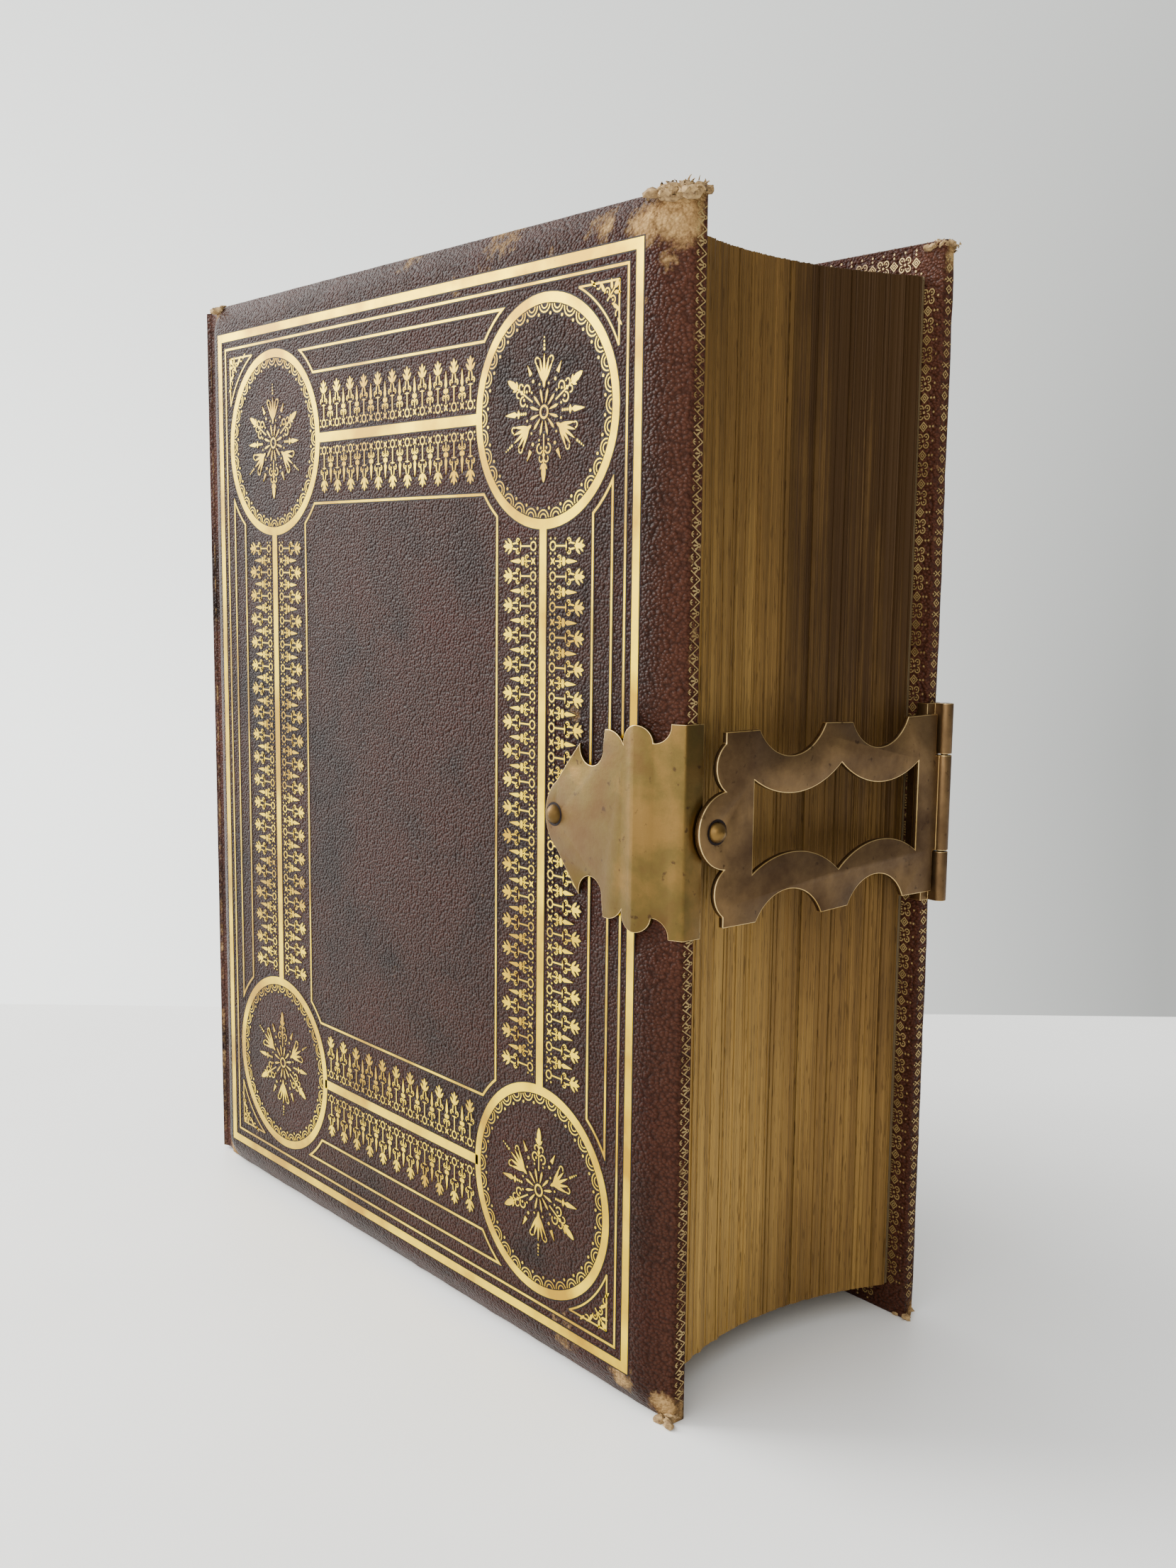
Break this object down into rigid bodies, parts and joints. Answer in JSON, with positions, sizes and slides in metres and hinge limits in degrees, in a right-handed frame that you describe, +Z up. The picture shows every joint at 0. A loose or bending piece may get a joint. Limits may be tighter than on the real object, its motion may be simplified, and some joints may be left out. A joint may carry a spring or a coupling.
{
  "type": "bible",
  "caption": "Large leather-bound family Bible with bevelled boards, rounded spine, hollow gilt fore-edge and a hinged open-work brass clasp.",
  "frame": {"origin": "under the middle of the standing book, on the surface it stands on", "axes": "+X from spine to fore-edge, -Y out of the front cover, +Z up from tail to head"},
  "size_m": [0.279, 0.116, 0.318],
  "materials": {
    "leather": "pebble-grained morocco, gold tooled, worn at the edges",
    "board": "raw paste board",
    "endpaper": "aged endpaper",
    "page": "aged book paper",
    "gilt_paper": "paper with dull gilt edges",
    "cloth": "open-weave cotton",
    "silk": "sewn silk",
    "brass": "aged sheet brass",
    "dark_brass": "brown tarnished brass"
  },
  "bodies": {
    "text_block": {"gathering_group_1": "gilt_paper", "gathering_group_2": "gilt_paper", "gathering_group_3": "gilt_paper", "gathering_group_4": "gilt_paper", "gathering_group_5": "gilt_paper", "gathering_group_6": "gilt_paper", "gathering_group_7": "gilt_paper", "gathering_group_8": "gilt_paper", "sewing_tapes": "cloth", "mull": "cloth", "spine_lining": "board", "hollow_back": "board", "raised_bands": "board", "spine_leather": "leather", "headband": "silk", "tailband": "silk"},
    "front_cover": {"front_board": "board", "front_leather": "leather", "front_infill": "board", "front_pastedown": "endpaper", "catch_plate": "brass", "catch_rivet": "brass"},
    "back_cover": {"back_board": "board", "back_leather": "leather", "back_infill": "board", "back_pastedown": "endpaper", "anchor_plate": "dark_brass", "anchor_rivet": "brass", "hinge_pin": "dark_brass"},
    "hasp": {"hasp": "dark_brass", "catch_stud": "dark_brass"},
    "front_flyleaf": {"front_flyleaf": "endpaper"},
    "title_leaf": {"title_leaf": "page"},
    "back_flyleaf": {"back_flyleaf": "endpaper"},
    "rear_leaf": {"rear_leaf": "page"}
  },
  "joints": [
    {"name": "front_cover_turn", "type": "hinge", "parent": "text_block", "child": "front_cover", "pos_m": [-0.1213, -0.051, 0.159], "axis": [0, 0, -1], "range_deg": [0, 180]},
    {"name": "back_cover_turn", "type": "hinge", "parent": "text_block", "child": "back_cover", "pos_m": [-0.1213, 0.051, 0.159], "axis": [0, 0, 1], "range_deg": [0, 180]},
    {"name": "hasp_swing", "type": "hinge", "parent": "back_cover", "child": "hasp", "pos_m": [0.1374, 0.05, 0.1595], "axis": [0, 0, 1], "range_deg": [0, 180]},
    {"name": "front_flyleaf_turn", "type": "hinge", "parent": "text_block", "child": "front_flyleaf", "pos_m": [-0.119, -0.045, 0.159], "axis": [0, 0, -1], "range_deg": [0, 90]},
    {"name": "title_leaf_turn", "type": "hinge", "parent": "text_block", "child": "title_leaf", "pos_m": [-0.118, -0.04435, 0.159], "axis": [0, 0, -1], "range_deg": [0, 45]},
    {"name": "back_flyleaf_turn", "type": "hinge", "parent": "text_block", "child": "back_flyleaf", "pos_m": [-0.119, 0.045, 0.159], "axis": [0, 0, 1], "range_deg": [0, 90]},
    {"name": "rear_leaf_turn", "type": "hinge", "parent": "text_block", "child": "rear_leaf", "pos_m": [-0.118, 0.04435, 0.159], "axis": [0, 0, 1], "range_deg": [0, 45]}
  ],
  "couplings": [
    {"joint": "front_flyleaf_turn", "follows": "front_cover_turn", "ratio": 0.5},
    {"joint": "title_leaf_turn", "follows": "front_cover_turn", "ratio": 0.25},
    {"joint": "back_flyleaf_turn", "follows": "back_cover_turn", "ratio": 0.5},
    {"joint": "rear_leaf_turn", "follows": "back_cover_turn", "ratio": 0.25}
  ]
}
